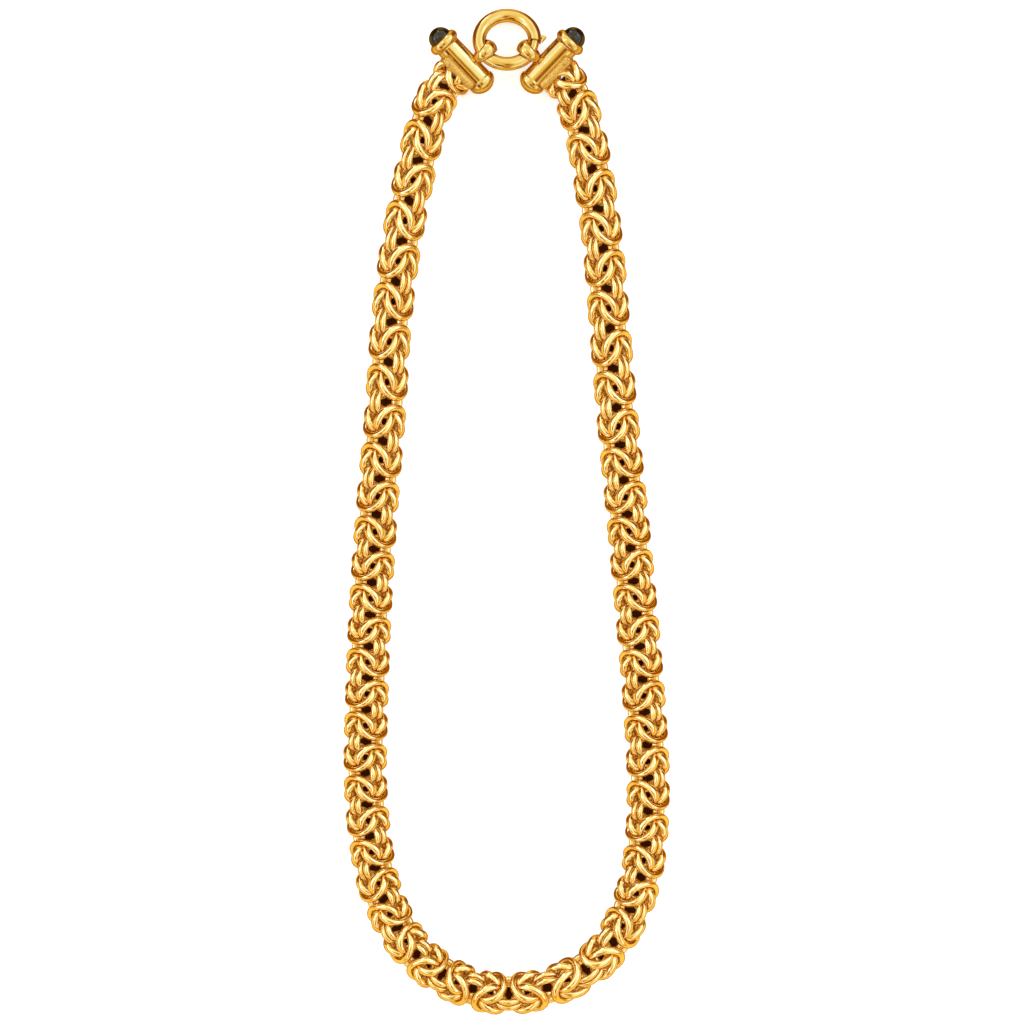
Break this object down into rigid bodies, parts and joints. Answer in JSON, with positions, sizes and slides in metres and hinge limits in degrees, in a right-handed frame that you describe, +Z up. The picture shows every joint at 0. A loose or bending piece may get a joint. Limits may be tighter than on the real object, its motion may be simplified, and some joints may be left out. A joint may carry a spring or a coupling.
{
  "type": "byzantine chain necklace",
  "caption": "Gold neck chain of Byzantine weave with barrel ends set with black domed stones and joined by a round sprung clasp.",
  "frame": {"origin": "on the surface that the necklace lies on, under the middle of its outline", "axes": "+Z up from the surface, +Y along the necklace towards its clasp, +X to the right in the view from above"},
  "size_m": [0.0688, 0.2126, 0.0092],
  "materials": {
    "chain_gold": "polished yellow gold with a fine brushed texture",
    "polished_gold": "polished yellow gold",
    "black_stone": "polished black stone"
  },
  "bodies": {
    "root": {"chain": "chain_gold", "left_terminal": "polished_gold", "right_terminal": "polished_gold", "left_cabochon": "black_stone", "right_cabochon": "black_stone", "clasp_ring": "polished_gold"},
    "bolt": {"clasp_bolt": "polished_gold"}
  },
  "joints": [
    {"name": "bolt_slide", "type": "hinge", "parent": "root", "child": "bolt", "pos_m": [0.00005, 0.09958, 0.00392], "axis": [0, 0.4226, 0.9063], "range_deg": [0, 42], "stiffness_Nm_per_rad": 0.005, "springref_deg": -11.46}
  ]
}
